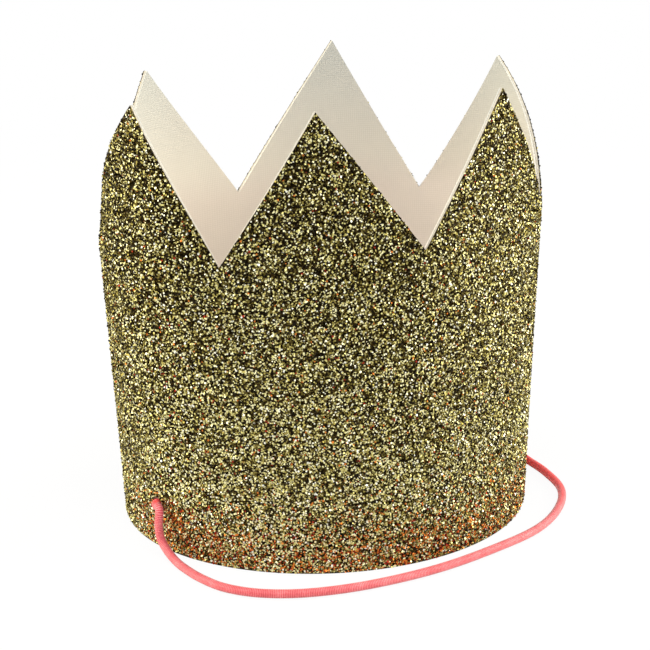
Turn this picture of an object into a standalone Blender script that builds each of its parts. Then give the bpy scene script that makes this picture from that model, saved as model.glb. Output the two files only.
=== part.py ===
"""A small party crown: a strip of glitter cloth rolled into an oval tube with six
points, and the round chin elastic that is knotted through a hole at each side.

Metres, +Z up. The crown stands on the plane z = 0. The X axis runs from one elastic
hole to the other, and the wearer looks along -Y. The holes' common centre line is the
axis that the elastic swings about.
"""
import math

import bmesh
import bpy
import numpy as np
from mathutils import Matrix, Vector
from mathutils.geometry import interpolate_bezier

# The rolled strip: two ovals give the wall its flare, and the cloth is cut in points.
BASE_HALF_LENGTH = 0.0538
BASE_HALF_BREADTH = 0.0490
UPPER_HALF_LENGTH = 0.0606
UPPER_HALF_BREADTH = 0.0385
UPPER_OVAL_HEIGHT = 0.075
OVAL_TURN = math.radians(-10.5)
CROWN_HEIGHT = 0.1130
VALLEY_HEIGHT = 0.0758
POINT_SHIFT = -0.0046

# The points are cut by hand, so each one differs a little from the next. For each
# point in turn, from the left hole by way of the front: how far its tip stands above
# the common height, how far it leans outwards, and how far the valley after it stands
# above the common valley height.
POINT_CUTS = (
    (0.0001, -0.0059, 0.0005),
    (0.0000, 0.0029, 0.0008),
    (-0.0008, 0.0008, -0.0002),
    (-0.0008, -0.0068, -0.0026),
    (0.0020, 0.0021, -0.0005),
    (-0.0003, 0.0042, 0.0015),
)

# The cloth's three layers, from the outside inwards.
GLITTER_THICKNESS = 0.00035
CORE_THICKNESS = 0.00035
BACKING_THICKNESS = 0.00025
LAYER_GAP = 0.0002
SKIN_LIFT = 0.0003
TRIM_ALLOWANCE = 0.001

# The glued seam, at the valley before the point over the left hole.
SEAM_OVERLAP = 0.010
SEAM_RUN_IN = 0.030
GLUE_THICKNESS = 0.0002
GLUE_MARGIN = 0.001

# The elastic, its holes and its knots.
CORD_DIAMETER = 0.0022
HOLE_HEIGHT = 0.0121
HOLE_CLEARANCE = 0.0005
TOUCH_GAP = 0.0003
KNOT_DIAMETER = 0.0064
KNOT_LENGTH = 0.0056
TAIL_LENGTH = 0.0060
HOLE_TO_BEND = 0.0004

# The elastic's route outside the wall, from the left hole round the front to the
# right one: points chosen by hand, with the height of the cord's underside above the
# surface that the crown stands on.
CORD_ROUTE = (
    (-0.0563, -0.0016, 0.0103),
    (-0.0568, -0.0034, 0.0069),
    (-0.0569, -0.0048, 0.0033),
    (-0.0573, -0.0090, 0.0009),
    (-0.0580, -0.0150, 0.0),
    (-0.0584, -0.0230, 0.0),
    (-0.0570, -0.0315, 0.0),
    (-0.0520, -0.0395, 0.0),
    (-0.0430, -0.0464, 0.0),
    (-0.0290, -0.0520, 0.0),
    (-0.0100, -0.0555, 0.0),
    (0.0100, -0.0555, 0.0),
    (0.0260, -0.0535, 0.0),
    (0.0390, -0.0477, 0.0),
    (0.0490, -0.0390, 0.0),
    (0.0545, -0.0275, 0.0),
    (0.0570, -0.0170, 0.0002),
    (0.0573, -0.0100, 0.0019),
    (0.0570, -0.0050, 0.0057),
    (0.0564, -0.0018, 0.0097),
)

# How finely the shapes are divided.
COLUMNS_PER_SLOPE = 6
ROWS = (0.0, 0.25, 0.5, 0.67, 0.76, 0.84, 0.92, 1.0)
OVAL_SAMPLES = 720
CORD_STEP = 0.0050
END_STEP = 0.0018
END_RUN = 0.012
HOLE_SIDES = 24
KNOT_SIDES = 24

POINT_COUNT = len(POINT_CUTS)
WALL_THICKNESS = GLITTER_THICKNESS + CORE_THICKNESS + BACKING_THICKNESS + 2 * LAYER_GAP
CORE_DEPTH = GLITTER_THICKNESS + LAYER_GAP
BACKING_DEPTH = CORE_DEPTH + CORE_THICKNESS + LAYER_GAP
SEAM_DEPTH = WALL_THICKNESS + GLUE_THICKNESS + 2 * LAYER_GAP
HOLE_DIAMETER = CORD_DIAMETER + 2 * HOLE_CLEARANCE


def clear_scene():
    for thing in list(bpy.data.objects):
        bpy.data.objects.remove(thing, do_unlink=True)


def new_collection(name):
    collection = bpy.data.collections.new(name)
    bpy.context.scene.collection.children.link(collection)
    return collection


def new_material(name, colour, roughness, metallic=0.0):
    material = bpy.data.materials.new(name)
    material.use_nodes = True
    shader = material.node_tree.nodes["Principled BSDF"]
    shader.inputs["Base Color"].default_value = (*colour, 1.0)
    shader.inputs["Roughness"].default_value = roughness
    shader.inputs["Metallic"].default_value = metallic
    return material


def oval(height):
    """The outer oval at a height: points from the -X side round by -Y, and the length
    of strip run off at each."""
    share = height / UPPER_OVAL_HEIGHT
    half_length = BASE_HALF_LENGTH + (UPPER_HALF_LENGTH - BASE_HALF_LENGTH) * share
    half_breadth = BASE_HALF_BREADTH + (UPPER_HALF_BREADTH - BASE_HALF_BREADTH) * share
    direction = np.linspace(math.pi, 3 * math.pi, OVAL_SAMPLES + 1)
    along = direction - OVAL_TURN
    radius = 1.0 / np.hypot(np.cos(along) / half_length, np.sin(along) / half_breadth)
    points = np.column_stack((radius * np.cos(direction), radius * np.sin(direction)))
    steps = np.hypot(*np.diff(points, axis=0).T)
    return points, np.concatenate(([0.0], np.cumsum(steps)))


BASE_GIRTH = oval(0.0)[1][-1]


def girth_share(length):
    """A length along the bottom rim, as a share of one turn."""
    return length / BASE_GIRTH


def tip_share(index):
    return index / POINT_COUNT + girth_share(POINT_SHIFT)


def valley_share(index):
    return tip_share(index + 0.5)


def cut_height(share):
    """The height that the cloth is cut to at a share of a turn: a zigzag from tip to
    valley to tip."""
    steps = (share - tip_share(0)) * POINT_COUNT
    index = math.floor(steps)
    part = steps - index
    before = POINT_CUTS[index % POINT_COUNT]
    after = POINT_CUTS[(index + 1) % POINT_COUNT]
    valley = VALLEY_HEIGHT + before[2]
    if part < 0.5:
        tip = CROWN_HEIGHT + before[0]
        return tip + (valley - tip) * part / 0.5
    tip = CROWN_HEIGHT + after[0]
    return valley + (tip - valley) * (part - 0.5) / 0.5


def on_oval(share, height, depth=0.0):
    """The place on the oval at a share of a turn and a height, moved in by a depth."""
    points, run = oval(height)
    length = (share % 1.0) * run[-1]
    here = np.array([np.interp(length, run, points[:, axis]) for axis in (0, 1)])
    step = run[-1] / OVAL_SAMPLES
    ahead = np.array([np.interp((length + step) % run[-1], run, points[:, axis]) for axis in (0, 1)])
    back = np.array([np.interp((length - step) % run[-1], run, points[:, axis]) for axis in (0, 1)])
    tangent = (ahead - back) / np.linalg.norm(ahead - back)
    inwards = np.array((-tangent[1], tangent[0]))
    return here + inwards * depth


def lean(share, height):
    """How far the point at a share of a turn leans out at a height, as a vector."""
    index = math.floor((share - tip_share(0)) * POINT_COUNT + 0.5)
    tip_rise, outwards, _ = POINT_CUTS[index % POINT_COUNT]
    part = (height - VALLEY_HEIGHT) / (CROWN_HEIGHT + tip_rise - VALLEY_HEIGHT)
    direction = on_oval(tip_share(index), CROWN_HEIGHT)
    direction /= np.linalg.norm(direction)
    return direction * outwards * max(0.0, part) ** 1.5


SEAM_START = valley_share(POINT_COUNT - 1) - 1.0 - girth_share(SEAM_OVERLAP) / 2
SEAM_END = SEAM_START + 1.0 + girth_share(SEAM_OVERLAP)


def tuck(share):
    """How deep the strip's far end is tucked in under its near end."""
    begin = SEAM_START + 1.0 - girth_share(SEAM_RUN_IN)
    part = min(1.0, max(0.0, (share - begin) / girth_share(SEAM_RUN_IN)))
    return SEAM_DEPTH * part * part * (3.0 - 2.0 * part)


def wall_point(share, height, depth):
    """A place in the rolled strip: along it, up it and into it from its outer face."""
    flat = on_oval(share, height, depth + tuck(share)) + lean(share, height)
    return Vector((flat[0], flat[1], height))


def strip_columns():
    """Shares of a turn from the strip's near end to its far end, with one on every
    tip and every valley."""
    columns = [SEAM_START]
    slopes = 2 * POINT_COUNT * COLUMNS_PER_SLOPE
    first = valley_share(-1)
    columns += [first + step / slopes for step in range(slopes + 1)]
    columns.append(SEAM_END)
    return columns


def roll_sheet(name, columns, depth, thickness, bottom, top_margin, collection, material):
    """A sheet of the strip between two heights: a flat grid rolled to the oval, and
    given its thickness."""
    mesh = bpy.data.meshes.new(name)
    sheet = bmesh.new()
    across = len(columns) - 1
    up = len(ROWS) - 1
    bmesh.ops.create_grid(sheet, x_segments=across, y_segments=up, size=0.5)
    for vertex in sheet.verts:
        share = columns[round((vertex.co.x + 0.5) * across)]
        row = ROWS[round((vertex.co.y + 0.5) * up)]
        height = bottom + (cut_height(share) - top_margin - bottom) * row
        vertex.co = wall_point(share, height, depth)
    sheet.to_mesh(mesh)
    sheet.free()
    mesh.materials.append(material)
    layer = bpy.data.objects.new(name, mesh)
    collection.objects.link(layer)
    solidify = layer.modifiers.new("Thickness", "SOLIDIFY")
    solidify.thickness = thickness
    solidify.offset = -1.0
    solidify.use_even_offset = True
    mesh.shade_smooth()
    mesh.set_sharp_from_angle(angle=math.radians(30))
    return layer


def wall_face_x(side, depth):
    """Where the wall at a depth meets the holes' centre line. side is -1 or 1."""
    share = 0.0 if side < 0 else 0.5
    return on_oval(share, HOLE_HEIGHT, depth)[0]


def file_cutter(cutter, collection):
    """Keeps a cutter with the other cutters, out of the finished crown."""
    for owner in list(cutter.users_collection):
        owner.objects.unlink(cutter)
    collection.objects.link(cutter)
    cutter.hide_render = True
    cutter.display_type = "WIRE"
    return cutter


def hole_cutter(name, side, collection):
    """A cylinder along the holes' centre line, through all three layers."""
    middle = wall_face_x(side, WALL_THICKNESS / 2)
    bpy.ops.mesh.primitive_cylinder_add(
        vertices=HOLE_SIDES,
        radius=HOLE_DIAMETER / 2,
        depth=8 * WALL_THICKNESS,
        location=(middle, 0.0, HOLE_HEIGHT),
        rotation=(0.0, math.pi / 2, 0.0),
    )
    cutter = bpy.context.object
    cutter.name = name
    return file_cutter(cutter, collection)


def rim_cutter(name, bottom, collection):
    """A slab that trims a layer's lower edge flat at a height."""
    slab = 10 * TRIM_ALLOWANCE
    bpy.ops.mesh.primitive_cube_add(size=1.0, location=(0.0, 0.0, bottom - slab / 2))
    cutter = bpy.context.object
    cutter.name = name
    for corner in cutter.data.vertices:
        corner.co = Vector((corner.co.x * 4 * BASE_HALF_LENGTH, corner.co.y * 4 * BASE_HALF_LENGTH,
                            corner.co.z * slab))
    return file_cutter(cutter, collection)


def cut_away(layer, cutters):
    for cutter in cutters:
        cut = layer.modifiers.new("Cut " + cutter.name, "BOOLEAN")
        cut.operation = "DIFFERENCE"
        cut.solver = "EXACT"
        cut.object = cutter


def knot_face_x(side):
    """Where the knot's face stands, just clear of the backing. It turns with the
    elastic, so it clears the most inward part of the wall that it sweeps past."""
    return wall_face_x(side, WALL_THICKNESS) - side * TOUCH_GAP


def make_knot(name, side, collection, material):
    """A barrel-shaped knot on the holes' centre line with a short tail, turned."""
    cord = CORD_DIAMETER / 2
    barrel = KNOT_DIAMETER / 2
    outline = [(0.0, 0.0), (cord * 1.2, 0.0)]
    turns = 8
    for step in range(1, turns):
        angle = math.pi * step / turns
        outline.append((cord * 1.2 + (barrel - cord * 1.2) * math.sin(angle), KNOT_LENGTH * step / turns))
    outline.append((cord, KNOT_LENGTH))
    outline.append((cord, KNOT_LENGTH + TAIL_LENGTH - cord / 2))
    outline.append((cord * 0.7, KNOT_LENGTH + TAIL_LENGTH))
    outline.append((0.0, KNOT_LENGTH + TAIL_LENGTH))
    profile = bmesh.new()
    corners = [profile.verts.new((radius, 0.0, -reach)) for radius, reach in outline]
    for first, second in zip(corners, corners[1:]):
        profile.edges.new((first, second))
    mesh = bpy.data.meshes.new(name)
    profile.to_mesh(mesh)
    profile.free()
    mesh.materials.append(material)
    knot = bpy.data.objects.new(name, mesh)
    collection.objects.link(knot)
    knot.location = (knot_face_x(side), 0.0, HOLE_HEIGHT)
    knot.rotation_euler = (0.0, side * math.pi / 2, 0.0)
    screw = knot.modifiers.new("Turn", "SCREW")
    screw.axis = "Z"
    screw.steps = KNOT_SIDES
    screw.render_steps = KNOT_SIDES
    screw.use_merge_vertices = True
    screw.merge_threshold = 0.00001
    screw.use_smooth_shade = True
    return knot


def smooth_route(points):
    """A smooth line through the points, as many short steps."""
    before = [points[0]] + points[:-1]
    after = points[1:] + [points[-1]]
    headings = [(second - first).normalized() for first, second in zip(before, after)]
    samples = []
    for index in range(len(points) - 1):
        start = points[index]
        end = points[index + 1]
        reach = (end - start).length / 3
        leave = start + headings[index] * reach
        arrive = end - headings[index + 1] * reach
        samples += interpolate_bezier(start, leave, arrive, end, 33)[:-1]
    samples.append(points[-1])
    return samples


def cord_points():
    """Points along the elastic's centre line, close together where it bends into the
    holes. Nowhere does its underside pass below the surface."""
    lift = CORD_DIAMETER / 2
    ends = []
    for side in (-1, 1):
        inside = Vector((knot_face_x(side) + side * TOUCH_GAP, 0.0, HOLE_HEIGHT))
        outside = Vector((wall_face_x(side, 0.0) + side * HOLE_TO_BEND, 0.0, HOLE_HEIGHT))
        ends.append((inside, outside))
    outside_wall = [Vector((x, y, underside + lift)) for x, y, underside in CORD_ROUTE]
    samples = smooth_route([*ends[0], *outside_wall, ends[1][1], ends[1][0]])
    for sample in samples:
        sample.z = max(sample.z, lift)
    steps = [(second - first).length for first, second in zip(samples, samples[1:])]
    total = sum(steps)
    chosen = [samples[0]]
    run = 0.0
    last = 0.0
    for sample, step in zip(samples[1:], steps):
        run += step
        near_end = min(run, total - run) < END_RUN
        spacing = END_STEP if near_end else CORD_STEP
        if run - last >= spacing and total - run > END_STEP / 2:
            chosen.append(sample)
            last = run
    chosen.append(samples[-1])
    return chosen


def make_cord(name, collection, material):
    """The chin elastic: one round tube from knot to knot."""
    curve = bpy.data.curves.new(name, "CURVE")
    curve.dimensions = "3D"
    curve.bevel_depth = CORD_DIAMETER / 2
    curve.bevel_resolution = 2
    curve.use_fill_caps = True
    points = cord_points()
    spline = curve.splines.new("POLY")
    spline.points.add(len(points) - 1)
    for slot, point in zip(spline.points, points):
        slot.co = (*point, 1.0)
    curve.materials.append(material)
    cord = bpy.data.objects.new(name, curve)
    collection.objects.link(cord)
    return cord


def swing_parent(pieces, collection):
    """An empty on the holes' centre line, which the elastic and its knots turn with."""
    pivot = bpy.data.objects.new("elastic_swing", None)
    pivot.location = (0.0, 0.0, HOLE_HEIGHT)
    collection.objects.link(pivot)
    for piece in pieces:
        piece.parent = pivot
        piece.matrix_parent_inverse = Matrix.Translation(pivot.location).inverted()


def main():
    clear_scene()
    crown = new_collection("party_crown")
    cutters = new_collection("cutters")

    gold = new_material("gold_glitter", (0.42, 0.36, 0.14), 0.35, 0.6)
    white = new_material("white_core", (0.85, 0.84, 0.80), 0.8)
    cream = new_material("cream_weave", (0.72, 0.66, 0.56), 0.9)
    glue = new_material("clear_glue", (0.80, 0.78, 0.70), 0.4)
    coral = new_material("coral_elastic", (0.90, 0.16, 0.20), 0.6)

    columns = strip_columns()
    layers = (
        ("glitter_face", 0.0, GLITTER_THICKNESS, SKIN_LIFT, gold),
        ("white_core", CORE_DEPTH, CORE_THICKNESS, 0.0, white),
        ("woven_backing", BACKING_DEPTH, BACKING_THICKNESS, SKIN_LIFT, cream),
    )
    punches = [hole_cutter("left_punch", -1, cutters), hole_cutter("right_punch", 1, cutters)]
    for name, depth, thickness, bottom, material in layers:
        layer = roll_sheet(name, columns, depth, thickness, -TRIM_ALLOWANCE, 0.0, crown, material)
        cut_away(layer, [rim_cutter(name + "_trim", bottom, cutters), *punches])

    seam_valley = valley_share(-1)
    reach = girth_share(SEAM_OVERLAP / 2 - GLUE_MARGIN)
    glue_columns = [seam_valley - reach, seam_valley, seam_valley + reach]
    roll_sheet(
        "seam_glue", glue_columns, WALL_THICKNESS + LAYER_GAP, GLUE_THICKNESS,
        GLUE_MARGIN, GLUE_MARGIN, crown, glue)

    cord = make_cord("chin_elastic", crown, coral)
    left_knot = make_knot("left_knot", -1, crown, coral)
    right_knot = make_knot("right_knot", 1, crown, coral)
    swing_parent([cord, left_knot, right_knot], crown)


main()
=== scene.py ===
import math

import bpy
import numpy as np
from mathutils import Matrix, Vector
from mathutils.geometry import interpolate_bezier
from mathutils.kdtree import KDTree


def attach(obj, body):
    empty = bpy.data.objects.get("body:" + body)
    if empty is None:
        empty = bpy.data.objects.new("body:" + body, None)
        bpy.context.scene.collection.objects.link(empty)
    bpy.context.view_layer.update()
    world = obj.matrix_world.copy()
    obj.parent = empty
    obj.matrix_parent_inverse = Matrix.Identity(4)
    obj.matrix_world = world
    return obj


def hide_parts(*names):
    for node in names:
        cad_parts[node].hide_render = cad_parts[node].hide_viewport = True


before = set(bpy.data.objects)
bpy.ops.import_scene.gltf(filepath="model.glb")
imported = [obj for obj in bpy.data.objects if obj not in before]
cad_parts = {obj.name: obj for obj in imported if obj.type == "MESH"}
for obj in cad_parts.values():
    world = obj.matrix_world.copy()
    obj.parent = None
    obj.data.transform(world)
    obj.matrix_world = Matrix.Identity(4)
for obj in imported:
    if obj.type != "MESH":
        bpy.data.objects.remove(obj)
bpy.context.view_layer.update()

RANDOM = np.random.default_rng(7)

# ---------------------------------------------------------------- the crown's sizes, metres
BASE_HALF_LENGTH = 0.0538
BASE_HALF_BREADTH = 0.0490
UPPER_HALF_LENGTH = 0.0606
UPPER_HALF_BREADTH = 0.0385
UPPER_OVAL_HEIGHT = 0.075
OVAL_TURN = math.radians(-10.5)
CROWN_HEIGHT = 0.1130
VALLEY_HEIGHT = 0.0758
POINT_SHIFT = -0.0046
POINT_CUTS = (   # tip rise, lean outwards, next valley's rise, tip's shift along the strip, bend
    (0.0001, -0.0059, 0.0005, 0.0, 0.9),
    (0.0000, 0.0029, 0.0008, -0.0017, 1.2),
    (-0.0008, 0.0008, -0.0002, 0.0, 1.2),
    (-0.0008, -0.0068, -0.0026, 0.0, 1.2),
    (0.0020, 0.0021, -0.0005, 0.0, 1.2),
    (-0.0003, 0.0042, 0.0015, 0.0, 1.2),
)
GLITTER_DEPTH = 0.0
GLITTER_THICKNESS = 0.00016
CORE_DEPTH = 0.00022
CORE_THICKNESS = 0.00052
LINING_DEPTH = 0.00080
LINING_THICKNESS = 0.00040
SEAM_DEPTH = 0.00195
SEAM_OVERLAP = 0.010
SEAM_RUN_IN = 0.030
THREAD_PITCH = 0.00058
CORD_DIAMETER = 0.0022
HOLE_HEIGHT = 0.0121
HOLE_DIAMETER = 0.0032
KNOT_REACH = 0.0530
KNOT_SIZE = 0.00088
KNOT_CORD = 0.00195

# The elastic's route outside the wall, with the height of its underside.
CORD_ROUTE = (
    (-0.0564, -0.0034, 0.0107),
    (-0.0571, -0.0040, 0.0070),
    (-0.0570, -0.0049, 0.0034),
    (-0.0573, -0.0090, 0.0009),
    (-0.0580, -0.0150, 0.0),
    (-0.0584, -0.0230, 0.0),
    (-0.0570, -0.0315, 0.0),
    (-0.0520, -0.0395, 0.0),
    (-0.0430, -0.0464, 0.0),
    (-0.0290, -0.0520, 0.0),
    (-0.0100, -0.0555, 0.0),
    (0.0100, -0.0555, 0.0),
    (0.0260, -0.0535, 0.0),
    (0.0390, -0.0477, 0.0),
    (0.0490, -0.0390, 0.0),
    (0.0545, -0.0275, 0.0),
    (0.0570, -0.0170, 0.0002),
    (0.0573, -0.0100, 0.0019),
    (0.0570, -0.0050, 0.0057),
    (0.0564, -0.0018, 0.0097),
)


# ---------------------------------------------------------------- camera
CAMERA_AZIMUTH = math.radians(-39.16)
CAMERA_ELEVATION = math.radians(18.30)
CAMERA_DISTANCE = 0.5646
CAMERA_LENS = 120.3
CAMERA_TARGET = Vector((-0.0003, 0.0003, 0.0476))


def make_camera():
    out = Vector((
        math.sin(CAMERA_AZIMUTH) * math.cos(CAMERA_ELEVATION),
        -math.cos(CAMERA_AZIMUTH) * math.cos(CAMERA_ELEVATION),
        math.sin(CAMERA_ELEVATION),
    ))
    data = bpy.data.cameras.new("camera")
    data.lens = CAMERA_LENS
    data.sensor_width = 36.0
    data.clip_start = 0.01
    camera = bpy.data.objects.new("camera", data)
    bpy.context.scene.collection.objects.link(camera)
    camera.location = CAMERA_TARGET + out * CAMERA_DISTANCE
    camera.rotation_euler = out.to_track_quat("Z", "Y").to_euler()
    bpy.context.scene.camera = camera


# ---------------------------------------------------------------- node helpers
def new_material(name):
    material = bpy.data.materials.new(name)
    material.use_nodes = True
    return material, material.node_tree, material.node_tree.nodes["Principled BSDF"]


def add_node(tree, kind, **settings):
    node = tree.nodes.new(kind)
    for key, value in settings.items():
        setattr(node, key, value)
    return node


def calc(tree, operation, first, second=None):
    """A Math node. Each input is a number or another node's output."""
    node = add_node(tree, "ShaderNodeMath", operation=operation)
    for slot, value in zip(node.inputs, (first, second)):
        if isinstance(value, (int, float)):
            slot.default_value = value
        elif value is not None:
            tree.links.new(value, slot)
    return node.outputs[0]


def noise(tree, vector, scale, detail=2.0, roughness=0.5):
    node = add_node(tree, "ShaderNodeTexNoise")
    node.inputs["Scale"].default_value = scale
    node.inputs["Detail"].default_value = detail
    node.inputs["Roughness"].default_value = roughness
    tree.links.new(vector, node.inputs["Vector"])
    return node.outputs["Fac"]


def ramp(tree, value, stops, constant=False):
    node = add_node(tree, "ShaderNodeValToRGB")
    if constant:
        node.color_ramp.interpolation = "CONSTANT"
    elements = node.color_ramp.elements
    while len(elements) < len(stops):
        elements.new(0.5)
    for element, (place, colour) in zip(elements, stops):
        element.position = place
        element.color = (*colour, 1.0)
    tree.links.new(value, node.inputs["Fac"])
    return node.outputs["Color"]


def bump(tree, shader, height, distance, strength=1.0):
    node = add_node(tree, "ShaderNodeBump")
    node.inputs["Distance"].default_value = distance
    node.inputs["Strength"].default_value = strength
    tree.links.new(height, node.inputs["Height"])
    tree.links.new(node.outputs["Normal"], shader.inputs["Normal"])


def tone(red, green, blue):
    """A colour given as it is seen, made linear."""
    return tuple(((c / 255 + 0.055) / 1.055) ** 2.4 if c > 10 else c / 255 / 12.92 for c in (red, green, blue))


# ---------------------------------------------------------------- the rolled wall
HEIGHTS = np.linspace(-0.002, 0.120, 123)
DIRECTIONS = np.linspace(math.pi, 3 * math.pi, 1441)
SHARES = np.linspace(0.0, 1.0, 1441)


def oval_table():
    """Places on the outer oval for every height and every share of a turn."""
    table = np.zeros((len(HEIGHTS), len(SHARES), 2))
    girth = 0.0
    for row, height in enumerate(HEIGHTS):
        share = height / UPPER_OVAL_HEIGHT
        half_length = BASE_HALF_LENGTH + (UPPER_HALF_LENGTH - BASE_HALF_LENGTH) * share
        half_breadth = BASE_HALF_BREADTH + (UPPER_HALF_BREADTH - BASE_HALF_BREADTH) * share
        along = DIRECTIONS - OVAL_TURN
        radius = 1.0 / np.hypot(np.cos(along) / half_length, np.sin(along) / half_breadth)
        places = np.column_stack((radius * np.cos(DIRECTIONS), radius * np.sin(DIRECTIONS)))
        run = np.concatenate(([0.0], np.cumsum(np.hypot(*np.diff(places, axis=0).T))))
        for axis in (0, 1):
            table[row, :, axis] = np.interp(SHARES * run[-1], run, places[:, axis])
        if abs(height) < 0.0005:
            girth = run[-1]
    return table, girth


OVALS, GIRTH = oval_table()
TIP_SHARE = POINT_SHIFT / GIRTH
POINTS = len(POINT_CUTS)
TIP_RISE, LEANS, VALLEY_RISE, TIP_SHIFT, BENDS = (np.array(column) for column in zip(*POINT_CUTS))
SEAM_VALLEY = TIP_SHARE - 0.5 / POINTS
SEAM_START = SEAM_VALLEY - SEAM_OVERLAP / GIRTH / 2
SEAM_END = SEAM_START + 1.0 + SEAM_OVERLAP / GIRTH


def cut_corners():
    """The zigzag's corners from one valley round to the same valley: share and height."""
    places = [SEAM_VALLEY]
    tops = [VALLEY_HEIGHT + VALLEY_RISE[-1]]
    for index in range(POINTS):
        places += [TIP_SHARE + index / POINTS + TIP_SHIFT[index] / GIRTH, TIP_SHARE + (index + 0.5) / POINTS]
        tops += [CROWN_HEIGHT + TIP_RISE[index], VALLEY_HEIGHT + VALLEY_RISE[index]]
    return np.array(places), np.array(tops)


CORNER_SHARES, CORNER_HEIGHTS = cut_corners()


def on_oval(share, height):
    """Places on the outer oval, by bilinear reading of the table."""
    row = (height - HEIGHTS[0]) / (HEIGHTS[1] - HEIGHTS[0])
    low = np.clip(np.floor(row).astype(int), 0, len(HEIGHTS) - 2)
    column = (share % 1.0) * (len(SHARES) - 1)
    left = np.clip(np.floor(column).astype(int), 0, len(SHARES) - 2)
    up = (row - low)[..., None]
    along = (column - left)[..., None]
    bottom = OVALS[low, left] * (1 - along) + OVALS[low, left + 1] * along
    top = OVALS[low + 1, left] * (1 - along) + OVALS[low + 1, left + 1] * along
    return bottom * (1 - up) + top * up


def cut_height(share):
    """The zigzag that the cloth is cut to. Past the last corner the strip's two ends
    repeat its first and last slopes."""
    turned = CORNER_SHARES[0] + (share - CORNER_SHARES[0]) % 1.0
    return np.interp(turned, CORNER_SHARES, CORNER_HEIGHTS)


def lean(share, height):
    index = np.floor((share - TIP_SHARE) * POINTS + 0.5).astype(int) % POINTS
    part = np.clip((height - VALLEY_HEIGHT) / (CROWN_HEIGHT + TIP_RISE[index] - VALLEY_HEIGHT), 0, None)
    tips = on_oval(TIP_SHARE + np.arange(POINTS) / POINTS, np.full(POINTS, CROWN_HEIGHT))
    tips /= np.linalg.norm(tips, axis=1)[:, None]
    return tips[index] * (LEANS[index] * part ** BENDS[index])[..., None]


def tuck(share):
    """How deep the far end of the strip is tucked in under its near end."""
    part = np.clip((share - (SEAM_START + 1.0 - SEAM_RUN_IN / GIRTH)) / (SEAM_RUN_IN / GIRTH), 0, 1)
    return SEAM_DEPTH * part * part * (3 - 2 * part)


def wall_frame(share, height, depth):
    """Places in the wall, with the directions along the strip, up it and out of it."""
    step = 0.0005 / GIRTH
    tangent = on_oval(share + step, height) - on_oval(share - step, height)
    tangent /= np.linalg.norm(tangent, axis=-1)[..., None]
    inwards = np.stack((-tangent[..., 1], tangent[..., 0]), axis=-1)
    flat = on_oval(share, height) + lean(share, height) + inwards * (depth + tuck(share))[..., None]
    place = np.concatenate((flat, np.asarray(height)[..., None]), axis=-1)
    return place, np.pad(tangent, ((0, 0), (0, 1))), np.pad(-inwards, ((0, 0), (0, 1)))


def wall_places(share, height, depth):
    return wall_frame(share, height, depth)[0]


# ---------------------------------------------------------------- materials
def strip_uv(tree):
    node = add_node(tree, "ShaderNodeUVMap", uv_map="strip")
    return node.outputs["UV"]


def weave_material():
    """Cream plain weave: warp and weft pass over each other in turn, with a little slub and uneven dye, and
    painted shade in the dips between threads, darkest at the pinholes where four threads meet."""
    material, tree, shader = new_material("cream_plain_weave")
    place = strip_uv(tree)
    wobble = add_node(tree, "ShaderNodeVectorMath", operation="MULTIPLY_ADD")
    soft = add_node(tree, "ShaderNodeTexNoise")
    soft.inputs["Scale"].default_value = 260.0
    soft.inputs["Detail"].default_value = 1.0
    tree.links.new(place, soft.inputs["Vector"])
    tree.links.new(soft.outputs["Color"], wobble.inputs[0])
    wobble.inputs[1].default_value = (0.00022, 0.00022, 0.0)
    tree.links.new(place, wobble.inputs[2])
    apart = add_node(tree, "ShaderNodeSeparateXYZ")
    tree.links.new(wobble.outputs[0], apart.inputs[0])
    across = calc(tree, "DIVIDE", apart.outputs["X"], THREAD_PITCH)
    up = calc(tree, "DIVIDE", apart.outputs["Y"], THREAD_PITCH)
    warp = calc(tree, "ABSOLUTE", calc(tree, "SINE", calc(tree, "MULTIPLY", across, math.pi)))
    weft = calc(tree, "ABSOLUTE", calc(tree, "SINE", calc(tree, "MULTIPLY", up, math.pi)))
    squares = calc(tree, "ADD", calc(tree, "FLOOR", across), calc(tree, "FLOOR", up))
    over = calc(tree, "FLOORED_MODULO", squares, 2.0)
    under = calc(tree, "SUBTRACT", 1.0, over)
    warp_top = calc(tree, "MULTIPLY", calc(tree, "MULTIPLY", warp, calc(tree, "POWER", weft, 0.5)), over)
    weft_top = calc(tree, "MULTIPLY", calc(tree, "MULTIPLY", weft, calc(tree, "POWER", warp, 0.5)), under)
    height = calc(tree, "ADD", warp_top, weft_top)
    blotch = noise(tree, place, 45.0, 3.0)
    slub = noise(tree, place, 900.0, 2.0, 0.7)
    # Thread height darkens the dips between threads, painted shade; blotch and slub are uneven dye.
    tone_and_painted_light = calc(tree, "ADD", calc(tree, "MULTIPLY", height, 0.62),
                 calc(tree, "ADD", calc(tree, "MULTIPLY", blotch, 0.16), calc(tree, "MULTIPLY", slub, 0.24)))
    colour = ramp(tree, tone_and_painted_light, (
        (0.10, tone(220, 215, 205)),
        (0.40, tone(227, 222, 213)),
        (0.65, tone(230, 225, 217)),
        (0.90, tone(234, 230, 222)),
    ))
    # Painted light on the lining: the pink tint below the tips is painted bounce light from the elastic, and the
    # grey that deepens towards the tips is painted shade.
    rise = calc(tree, "DIVIDE", apart.outputs["Y"], 0.12)
    painted_bounce_and_shade = ramp(tree, rise, ((0.62, tone(255, 249, 246)), (0.70, tone(246, 245, 241)), (0.92, tone(208, 213, 215))))
    tint = add_node(tree, "ShaderNodeMix", data_type="RGBA", blend_type="MULTIPLY")
    tint.inputs["Factor"].default_value = 1.0
    tree.links.new(colour, tint.inputs[6])
    tree.links.new(painted_bounce_and_shade, tint.inputs[7])
    colour = tint.outputs[2]
    tree.links.new(colour, shader.inputs["Base Color"])
    shader.inputs["Roughness"].default_value = 0.92
    shader.inputs["Specular IOR Level"].default_value = 0.15
    shader.inputs["Sheen Weight"].default_value = 0.12
    bump(tree, shader, calc(tree, "ADD", height, calc(tree, "MULTIPLY", slub, 0.4)), 0.00008, 0.35)
    return material


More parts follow.
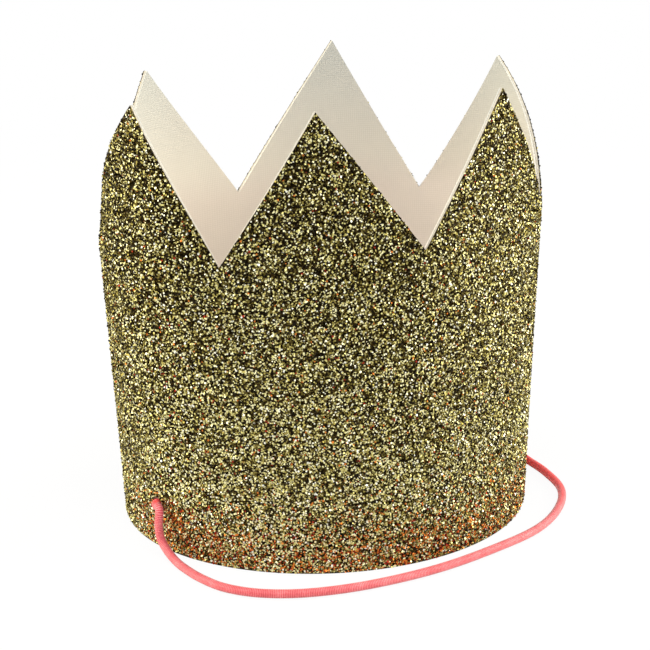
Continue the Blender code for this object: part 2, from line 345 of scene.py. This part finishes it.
def core_material():
    """White pressed felt, with fibres."""
    material, tree, shader = new_material("white_felt_core")
    place = add_node(tree, "ShaderNodeTexCoord").outputs["Object"]
    fibres = noise(tree, place, 1400.0, 4.0, 0.7)
    colour = ramp(tree, fibres, ((0.30, tone(166, 159, 146)), (0.65, tone(204, 198, 186))))
    tree.links.new(colour, shader.inputs["Base Color"])
    shader.inputs["Roughness"].default_value = 0.95
    bump(tree, shader, fibres, 0.0001, 0.7)
    return material


def glitter_bed_material():
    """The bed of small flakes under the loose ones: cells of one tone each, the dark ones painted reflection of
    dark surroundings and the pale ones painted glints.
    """
    material, tree, shader = new_material("glitter_bed")
    place = strip_uv(tree)
    cells = add_node(tree, "ShaderNodeTexVoronoi", voronoi_dimensions="2D")
    cells.inputs["Scale"].default_value = 1 / 0.00042
    tree.links.new(place, cells.inputs["Vector"])
    apart = add_node(tree, "ShaderNodeSeparateColor")
    tree.links.new(cells.outputs["Color"], apart.inputs[0])
    # Painted reflection: dark cells stand for flakes that mirror dark surroundings, pale cells for flakes that
    # catch a lamp.
    colour = ramp(tree, apart.outputs["Red"], (
        (0.0, tone(18, 12, 2)),
        (0.40, tone(44, 34, 10)),
        (0.68, tone(84, 72, 28)),
        (0.88, tone(134, 120, 60)),
        (0.96, tone(190, 178, 118)),
    ), constant=True)
    tree.links.new(colour, shader.inputs["Base Color"])
    shader.inputs["Metallic"].default_value = 0.7
    shader.inputs["Roughness"].default_value = 0.38
    bump(tree, shader, apart.outputs["Green"], 0.00012, 0.8)
    return material


# The spread of tones is painted reflection: brown-black and bronze flakes stand for flakes that mirror dark
# surroundings, pale gold, champagne and silver-white ones are painted glints, and amber and rust go mostly to the
# painted reflection of the elastic.
FLAKE_TONES = (   # name, colour, share of the flakes
    ("flake_brown_black", (14, 8, 1), 0.345),
    ("flake_bronze", (48, 36, 10), 0.13),
    ("flake_olive", (96, 86, 40), 0.08),
    ("flake_old_gold", (154, 142, 76), 0.08),
    ("flake_pale_gold", (204, 196, 128), 0.155),
    ("flake_champagne", (228, 224, 178), 0.165),
    ("flake_silver_white", (243, 243, 228), 0.045),
    ("flake_amber", (204, 118, 52), 0.009),
    ("flake_rust", (150, 44, 34), 0.006),
)


def flake_material(name, colour):
    """A metal-coated film flake."""
    material, tree, shader = new_material(name)
    shader.inputs["Base Color"].default_value = (*tone(*colour), 1.0)
    shader.inputs["Metallic"].default_value = 0.85
    shader.inputs["Roughness"].default_value = 0.40
    shader.inputs["Specular IOR Level"].default_value = 0.15
    shader.inputs["Specular Tint"].default_value = (0.86, 0.74, 0.36, 1.0)
    return material


def elastic_material():
    """Coral thread wound round the rubber: pale on each rib, a painted highlight, and deep red in the grooves,
    painted shade; a saturated red where the cord goes into the holes and before the right one, painted shade too."""
    material, tree, shader = new_material("coral_wound_thread")
    place = add_node(tree, "ShaderNodeTexCoord").outputs["Object"]
    along = add_node(tree, "ShaderNodeSeparateXYZ")
    tree.links.new(add_node(tree, "ShaderNodeUVMap", uv_map="wrap").outputs["UV"], along.inputs[0])
    turns = calc(tree, "MULTIPLY", along.outputs["X"], 2 * math.pi / RIB_PITCH)
    rib = calc(tree, "MULTIPLY_ADD", calc(tree, "SINE", turns), 0.5)
    rib.node.inputs[2].default_value = 0.5
    patches = noise(tree, place, 330.0, 2.0)
    fibres = noise(tree, place, 2600.0, 2.0, 0.7)
    # Pale pink on the ribs is a painted highlight and deep red in the grooves painted shade; patches and fibres
    # vary the tone at random.
    tone_and_painted_light = calc(tree, "ADD", calc(tree, "MULTIPLY", rib, 0.36),
                 calc(tree, "ADD", calc(tree, "MULTIPLY", patches, 0.36), calc(tree, "MULTIPLY", fibres, 0.28)))
    colour = ramp(tree, tone_and_painted_light, (
        (0.20, tone(176, 34, 46)),
        (0.42, tone(206, 72, 82)),
        (0.64, tone(224, 114, 120)),
        (0.82, tone(238, 164, 166)),
    ))
    # Painted shade: the wrap map's V mixes in a saturated red by the holes and before the right hole.
    painted_shade_mix = add_node(tree, "ShaderNodeMix", data_type="RGBA")
    tree.links.new(along.outputs["Y"], painted_shade_mix.inputs["Factor"])
    tree.links.new(colour, painted_shade_mix.inputs[6])
    painted_shade_mix.inputs[7].default_value = (*tone(*SHADE_RED), 1.0)
    tree.links.new(painted_shade_mix.outputs[2], shader.inputs["Base Color"])
    shader.inputs["Roughness"].default_value = 0.5
    shader.inputs["Sheen Weight"].default_value = 0.25
    bump(tree, shader, calc(tree, "ADD", rib, calc(tree, "MULTIPLY", fibres, 0.3)), 0.00008, 0.7)
    return material


def glue_material():
    material, tree, shader = new_material("clear_hot_glue")
    place = add_node(tree, "ShaderNodeTexCoord").outputs["Object"]
    blobs = noise(tree, place, 500.0, 2.0)
    colour = ramp(tree, blobs, ((0.3, tone(214, 208, 190)), (0.7, tone(232, 228, 214))))
    tree.links.new(colour, shader.inputs["Base Color"])
    shader.inputs["Roughness"].default_value = 0.3
    bump(tree, shader, blobs, 0.0001, 0.5)
    return material


# ---------------------------------------------------------------- pieces
def deselect_all():
    for thing in bpy.context.selected_objects:
        thing.select_set(False)


def only(piece):
    deselect_all()
    piece.select_set(True)
    bpy.context.view_layer.objects.active = piece


def apply_modifiers(piece):
    only(piece)
    for modifier in list(piece.modifiers):
        bpy.ops.object.modifier_apply(modifier=modifier.name)


def sheet_columns(spacing):
    """Shares of a turn from the strip's near end to its far end, one on every corner of
    the zigzag."""
    marks = [SEAM_START]
    for start, end in zip(CORNER_SHARES[:-1], CORNER_SHARES[1:]):
        steps = max(1, round((end - start) * GIRTH / spacing))
        marks += [start + (end - start) * step / steps for step in range(steps)]
    return np.array(marks + [CORNER_SHARES[-1], SEAM_END])


def rolled_layer(name, depth, thickness, column_spacing, row_count, material, bottom=0.0):
    """One cloth layer: a flat grid, rolled to the oval, with its flat cut as a UV map."""
    columns = sheet_columns(column_spacing)
    across = len(columns) - 1
    deselect_all()
    bpy.ops.mesh.primitive_grid_add(x_subdivisions=across, y_subdivisions=row_count, size=1.0)
    layer = bpy.context.object
    layer.name = name
    mesh = layer.data
    mesh.name = name
    flat = np.zeros(len(mesh.vertices) * 3)
    mesh.vertices.foreach_get("co", flat)
    flat = flat.reshape(-1, 3)
    share = columns[np.rint((flat[:, 0] + 0.5) * across).astype(int)]
    part = np.rint((flat[:, 1] + 0.5) * row_count) / row_count
    height = bottom + (cut_height(share) - bottom) * part
    mesh.vertices.foreach_set("co", wall_places(share, height, depth).ravel())
    uv = mesh.uv_layers[0]
    uv.name = "strip"
    corners = np.zeros(len(mesh.loops), dtype=int)
    mesh.loops.foreach_get("vertex_index", corners)
    uv.data.foreach_set("uv", np.column_stack(((share - SEAM_START) * GIRTH, height))[corners].ravel())
    mesh.materials.append(material)
    solidify = layer.modifiers.new("thickness", "SOLIDIFY")
    solidify.thickness = thickness
    solidify.offset = -1.0
    solidify.use_even_offset = True
    apply_modifiers(layer)
    punch_holes(layer)
    only(layer)
    bpy.ops.object.shade_smooth_by_angle(angle=math.radians(35))
    return layer


def punch_holes(layer):
    """Cuts the two elastic holes through a layer."""
    for side in (-1, 1):
        deselect_all()
        bpy.ops.mesh.primitive_cylinder_add(
            vertices=32, radius=HOLE_DIAMETER / 2, depth=0.012,
            location=(side * 0.0542, 0.0, HOLE_HEIGHT), rotation=(0.0, math.pi / 2, 0.0))
        cutter = bpy.context.object
        cut = layer.modifiers.new("hole", "BOOLEAN")
        cut.operation = "DIFFERENCE"
        cut.object = cutter
        apply_modifiers(layer)
        bpy.data.objects.remove(cutter, do_unlink=True)


def flake_outline():
    """One flake's corners, from a six-sided filled circle of unit width."""
    deselect_all()
    bpy.ops.mesh.primitive_circle_add(vertices=6, radius=0.5, fill_type="NGON")
    pattern = bpy.context.object
    corners = np.array([vertex.co for vertex in pattern.data.vertices])
    bpy.data.objects.remove(pattern, do_unlink=True)
    return corners


FLAKE_SPACING = 0.00041
FLAKE_WIDTH = 0.00050


def scatter_flakes(name, first_share, last_share, corners, materials, route):
    """Loose flakes stuck all over a sector of the outer face, each at its own tilt."""
    across = int((last_share - first_share) * GIRTH / FLAKE_SPACING)
    up = int((CROWN_HEIGHT + 0.003) / FLAKE_SPACING)
    column, row = np.meshgrid(np.arange(across), np.arange(up))
    jitter = RANDOM.uniform(-0.55, 0.55, (2, up, across))
    share = first_share + (column + 0.5 + jitter[0]) * (last_share - first_share) / across
    height = (row + 0.5 + jitter[1]) * FLAKE_SPACING
    share, height = share.ravel(), height.ravel()
    over = height - cut_height(share)
    inside = (over < RANDOM.normal(-0.00012, 0.00009, len(share))) & (height > 0.0002)
    share, height = share[inside], height[inside]
    place, along, outward = wall_frame(share, height, np.zeros(len(share)))
    near_hole = np.hypot(place[:, 1], place[:, 2] - HOLE_HEIGHT) < HOLE_DIAMETER / 2 + 0.0002
    keep = ~near_hole
    share, height, place, along, outward = (a[keep] for a in (share, height, place, along, outward))
    count = len(share)

    up_way = np.cross(outward, along)
    tilt = np.radians(np.abs(RANDOM.normal(0.0, 24.0, count))).clip(0, 1.2)
    heading = RANDOM.uniform(0, 2 * math.pi, count)
    lean_way = along * np.cos(heading)[:, None] + up_way * np.sin(heading)[:, None]
    level_way = np.cross(outward, lean_way)
    slope_way = lean_way * np.cos(tilt)[:, None] + outward * np.sin(tilt)[:, None]
    width = FLAKE_WIDTH * RANDOM.uniform(0.62, 1.25, count)
    spin = RANDOM.uniform(0, math.pi / 3, count)
    lift = np.sin(tilt) * width * 0.34 + RANDOM.uniform(0, 0.00006, count)
    centre = place + outward * lift[:, None]

    turned_x = corners[:, 0][None] * np.cos(spin)[:, None] - corners[:, 1][None] * np.sin(spin)[:, None]
    turned_y = corners[:, 0][None] * np.sin(spin)[:, None] + corners[:, 1][None] * np.cos(spin)[:, None]
    points = (centre[:, None]
              + slope_way[:, None] * (turned_x * width[:, None])[..., None]
              + level_way[:, None] * (turned_y * width[:, None])[..., None])

    weights = np.array([share_of for _, _, share_of in FLAKE_TONES])
    chances = np.cumsum(weights / weights.sum())
    # Painted shade: more dark flakes towards the top, fewer low down.
    top_shade_bias = 1.0 + 0.50 * (height - 0.048) / 0.055
    pick = np.searchsorted(chances, RANDOM.uniform(0, 1, count) ** top_shade_bias).clip(0, len(weights) - 1)
    # Painted reflection of the elastic: flakes near the cord take amber and rust.
    cord_reflected = RANDOM.uniform(0, 1, count) < cord_reflection_share(place, route)
    pick[cord_reflected] = np.where(RANDOM.uniform(0, 1, count) < 0.7, len(weights) - 2, len(weights) - 1)[cord_reflected]

    mesh = bpy.data.meshes.new(name)
    sides = len(corners)
    mesh.vertices.add(count * sides)
    mesh.vertices.foreach_set("co", points.ravel())
    mesh.loops.add(count * sides)
    mesh.loops.foreach_set("vertex_index", np.arange(count * sides))
    mesh.polygons.add(count)
    mesh.polygons.foreach_set("loop_start", np.arange(count) * sides)
    for material in materials:
        mesh.materials.append(material)
    mesh.polygons.foreach_set("material_index", pick)
    mesh.update(calc_edges=True)
    mesh.validate()
    piece = bpy.data.objects.new(name, mesh)
    bpy.context.scene.collection.objects.link(piece)
    return piece


def cord_reflection_share(place, route):
    """The share of flakes that take the elastic's colour, a painted reflection of the elastic: those just above it
    and just in front of each hole.
    """
    line = np.array([point for point in route if point[2] < 0.004])
    nearest = np.full(len(place), 1.0)
    for point in line[::6]:
        nearest = np.minimum(nearest, np.hypot(place[:, 0] - point[0], place[:, 1] - point[1]))
    close = np.exp(-(np.maximum(nearest - 0.006, 0) / 0.012) ** 2)
    low = 0.40 * close * np.exp(-(place[:, 2] / 0.011) ** 2)
    beside = np.hypot(np.maximum(np.abs(place[:, 1] + 0.005) - 0.002, 0), place[:, 2] - 0.010)
    return low + 0.30 * np.exp(-(beside / 0.003) ** 2)


# ---------------------------------------------------------------- elastic and knots
def smooth_route(points):
    """A smooth line through the points, as many short steps."""
    before = [points[0]] + points[:-1]
    after = points[1:] + [points[-1]]
    headings = [(second - first).normalized() for first, second in zip(before, after)]
    samples = []
    for index in range(len(points) - 1):
        start = points[index]
        end = points[index + 1]
        reach = (end - start).length / 3
        leave = start + headings[index] * reach
        arrive = end - headings[index + 1] * reach
        samples += interpolate_bezier(start, leave, arrive, end, 33)[:-1]
    samples.append(points[-1])
    return samples


def even_steps(samples, step):
    """Points at equal steps along a sampled line, and its length."""
    line = np.array(samples)
    run = np.concatenate(([0.0], np.cumsum(np.linalg.norm(np.diff(line, axis=0), axis=1))))
    marks = np.linspace(0, run[-1], int(run[-1] / step) + 1)
    return np.column_stack([np.interp(marks, run, line[:, axis]) for axis in range(3)]), run[-1]


def elastic_route():
    hole = Vector((0.0, 0.0, HOLE_HEIGHT))
    ends = {}
    for side in (-1, 1):
        inside = hole + Vector((side * KNOT_REACH, 0.0, 0.0))
        outside = hole + Vector((side * 0.0550, 0.0, 0.0))
        ends[side] = [inside, outside]
    lift = CORD_DIAMETER / 2
    middle = [Vector((x, y, underside + lift)) for x, y, underside in CORD_ROUTE]
    samples = smooth_route(ends[-1] + middle + ends[1][::-1])
    for sample in samples:
        sample.z = max(sample.z, lift)
    return samples


RIB_PITCH = 0.00042
# Painted shade: the cord turns a saturated red for this length by each hole, and along this share of its run
# before the right hole.
HOLE_SHADE_LENGTH = 0.0042
SHADE_RED = (240, 46, 50)
SHADED_STRETCH = (0.69, 0.80)


def wrap_map(cord, places, length, hole_shade_length):
    """A UV map of the wound thread: U is the way along the cord, and V is how much painted shade red it takes:
    full near the holes, where the cord goes into their shade, and most of it along the stretch before the right
    one, painted shade too."""
    tree = KDTree(len(places))
    for number, place in enumerate(places):
        tree.insert(place, number)
    tree.balance()
    step = length / (len(places) - 1)
    run = np.array([tree.find(vertex.co)[1] * step for vertex in cord.data.vertices])
    part = np.clip((run / length - SHADED_STRETCH[0]) / (SHADED_STRETCH[1] - SHADED_STRETCH[0]), 0, 1)
    stretch = 0.85 * part if hole_shade_length else 0.0
    red = np.where((run < hole_shade_length) | (run > length - hole_shade_length), 1.0, stretch)
    corners = np.zeros(len(cord.data.loops), dtype=int)
    cord.data.loops.foreach_get("vertex_index", corners)
    for old in list(cord.data.uv_layers):
        cord.data.uv_layers.remove(old)
    layer = cord.data.uv_layers.new(name="wrap")
    layer.data.foreach_set("uv", np.column_stack((run, red))[corners].ravel())


def wound_cord(name, samples, material, diameter=CORD_DIAMETER, hole_shade_length=HOLE_SHADE_LENGTH):
    """A round cord whose wound thread stands up in ribs: a bevelled curve with its
    radius rising and falling, made a mesh."""
    places, length = even_steps(samples, RIB_PITCH / 2)
    curve = bpy.data.curves.new(name, "CURVE")
    curve.dimensions = "3D"
    curve.bevel_depth = diameter / 2
    curve.bevel_resolution = 3
    curve.use_fill_caps = True
    spline = curve.splines.new("POLY")
    spline.points.add(len(places) - 1)
    for number, (slot, place) in enumerate(zip(spline.points, places)):
        slot.co = (*place, 1.0)
        slot.radius = 1.0 if number % 2 else 0.96
    maker = bpy.data.objects.new(name + "_line", curve)
    bpy.context.scene.collection.objects.link(maker)
    only(maker)
    bpy.ops.object.convert(target="MESH")
    cord = bpy.context.object
    cord.name = name
    cord.data.name = name
    cord.data.materials.clear()
    cord.data.materials.append(material)
    only(cord)
    bpy.ops.object.mode_set(mode="EDIT")
    bpy.ops.mesh.select_all(action="SELECT")
    bpy.ops.mesh.remove_doubles(threshold=0.000001)
    bpy.ops.mesh.normals_make_consistent(inside=False)
    bpy.ops.object.mode_set(mode="OBJECT")
    bpy.ops.object.shade_smooth()
    wrap_map(cord, places, length, hole_shade_length)
    return cord, places, length


def knot_route(side):
    """An overhand knot pulled tight just inside the wall, then its short tail."""
    turn = np.linspace(math.pi + 0.35, 3 * math.pi - 0.35, 40)
    along = np.sin(turn) + 2 * np.sin(2 * turn)
    rise = np.cos(turn) - 2 * np.cos(2 * turn) + 1.6
    over = -np.sin(3 * turn) * 1.05
    lead = [(-3.55, 0.0, 0.0), (-2.4, -0.35, 0.45)]
    leave = [(2.5, -0.45, -0.5), (3.9, -0.1, -0.1), (6.0, 0.25, 0.2), (8.3, -0.35, 0.35)]
    line = lead + list(zip(along, rise, over)) + leave
    size = KNOT_SIZE
    points = []
    for inwards, up, across in line:
        reach = KNOT_REACH - (inwards + 3.55) * size
        points.append(Vector((side * reach, across * size * side, HOLE_HEIGHT + up * size)))
    return smooth_route(points)


# ---------------------------------------------------------------- stage
def make_stage():
    deselect_all()
    bpy.ops.mesh.primitive_plane_add(size=6.0, location=(0.0, 0.0, -0.0002))
    floor = bpy.context.object
    floor.name = "floor"
    material, tree, shader = new_material("white_floor")
    shader.inputs["Base Color"].default_value = (0.82, 0.82, 0.82, 1.0)
    shader.inputs["Roughness"].default_value = 1.0
    shader.inputs["Specular IOR Level"].default_value = 0.0
    lit = add_node(tree, "ShaderNodeEmission")
    lit.inputs["Strength"].default_value = 1.0
    rays = add_node(tree, "ShaderNodeLightPath")
    mix = add_node(tree, "ShaderNodeMixShader")
    away = add_node(tree, "ShaderNodeVectorMath", operation="LENGTH")
    tree.links.new(add_node(tree, "ShaderNodeTexCoord").outputs["Object"], away.inputs[0])
    fade = add_node(tree, "ShaderNodeMapRange")
    fade.inputs["From Min"].default_value = 0.15
    fade.inputs["From Max"].default_value = 0.45
    fade.inputs["To Min"].default_value = 0.93
    tree.links.new(away.outputs["Value"], fade.inputs["Value"])
    tree.links.new(calc(tree, "MULTIPLY", rays.outputs["Is Camera Ray"], fade.outputs[0]), mix.inputs["Fac"])
    tree.links.new(shader.outputs[0], mix.inputs[1])
    tree.links.new(lit.outputs[0], mix.inputs[2])
    tree.links.new(mix.outputs[0], tree.nodes["Material Output"].inputs["Surface"])
    floor.data.materials.append(material)

    world = bpy.data.worlds.new("studio")
    bpy.context.scene.world = world
    world.use_nodes = True
    tree = world.node_tree
    background = tree.nodes["Background"]
    background.inputs["Strength"].default_value = 0.36
    background.inputs["Color"].default_value = (1.0, 0.99, 0.97, 1.0)
    seen = add_node(tree, "ShaderNodeBackground")
    seen.inputs["Color"].default_value = (1.0, 1.0, 1.0, 1.0)
    seen.inputs["Strength"].default_value = 1.0
    rays = add_node(tree, "ShaderNodeLightPath")
    mix = add_node(tree, "ShaderNodeMixShader")
    tree.links.new(rays.outputs["Is Camera Ray"], mix.inputs["Fac"])
    tree.links.new(background.outputs[0], mix.inputs[1])
    tree.links.new(seen.outputs[0], mix.inputs[2])
    tree.links.new(mix.outputs[0], tree.nodes["World Output"].inputs["Surface"])


LAMPS = (   # name, azimuth and elevation in degrees from the viewer, distance, size, power, tint
    ("left_softbox", -86, 18, 0.9, 0.9, 11.5, (1.0, 0.93, 0.73)),
    ("right_softbox", 100, 18, 0.9, 0.9, 14.2, (1.0, 0.95, 0.80)),
    ("front_top_softbox", 0, 56, 0.9, 0.7, 6.4, (1.0, 1.0, 1.0)),
)


def make_lamps():
    for name, azimuth, elevation, distance, size, power, tint in LAMPS:
        turn = CAMERA_AZIMUTH + math.radians(azimuth)
        rise = math.radians(elevation)
        way = Vector((math.sin(turn) * math.cos(rise), -math.cos(turn) * math.cos(rise), math.sin(rise)))
        data = bpy.data.lights.new(name, "AREA")
        data.size = size
        data.energy = power
        data.color = tint
        lamp = bpy.data.objects.new(name, data)
        bpy.context.scene.collection.objects.link(lamp)
        lamp.location = Vector((0.0, 0.0, 0.05)) + way * distance
        lamp.rotation_euler = way.to_track_quat("Z", "Y").to_euler()


# ---------------------------------------------------------------- the whole scene
bpy.context.scene.view_settings.view_transform = "Standard"
make_camera()

coral = elastic_material()
samples = elastic_route()
elastic, elastic_places, elastic_length = wound_cord("wound_elastic", samples, coral)
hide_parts("chin_elastic")
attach(elastic, "elastic")
for side, node in ((-1, "left_knot"), (1, "right_knot")):
    knot, _, _ = wound_cord("tied_" + node, knot_route(side), coral, KNOT_CORD, 0.0)
    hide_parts(node)
    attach(knot, "elastic")

core = rolled_layer("felt_core", CORE_DEPTH, CORE_THICKNESS, 0.0022, 40, core_material())
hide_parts("white_core")
lining = rolled_layer("woven_lining", LINING_DEPTH, LINING_THICKNESS, 0.0018, 48, weave_material())
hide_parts("woven_backing")
bed = rolled_layer("glitter_bed", GLITTER_DEPTH, GLITTER_THICKNESS, 0.0018, 48, glitter_bed_material())
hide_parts("glitter_face")

flake_corners = flake_outline()
flake_materials = [flake_material(name, colour) for name, colour, _ in FLAKE_TONES]
flake_pieces = []
for sector in range(POINTS):
    first = SEAM_START + sector / POINTS
    piece = scatter_flakes("glitter_flakes_%d" % (sector + 1), first, first + 1 / POINTS,
                           flake_corners, flake_materials, elastic_places)
    flake_pieces.append(piece)

for piece in (core, lining, bed, *flake_pieces):
    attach(piece, "crown")

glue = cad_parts["seam_glue"]
glue.data.materials.clear()
glue.data.materials.append(glue_material())

make_stage()
make_lamps()
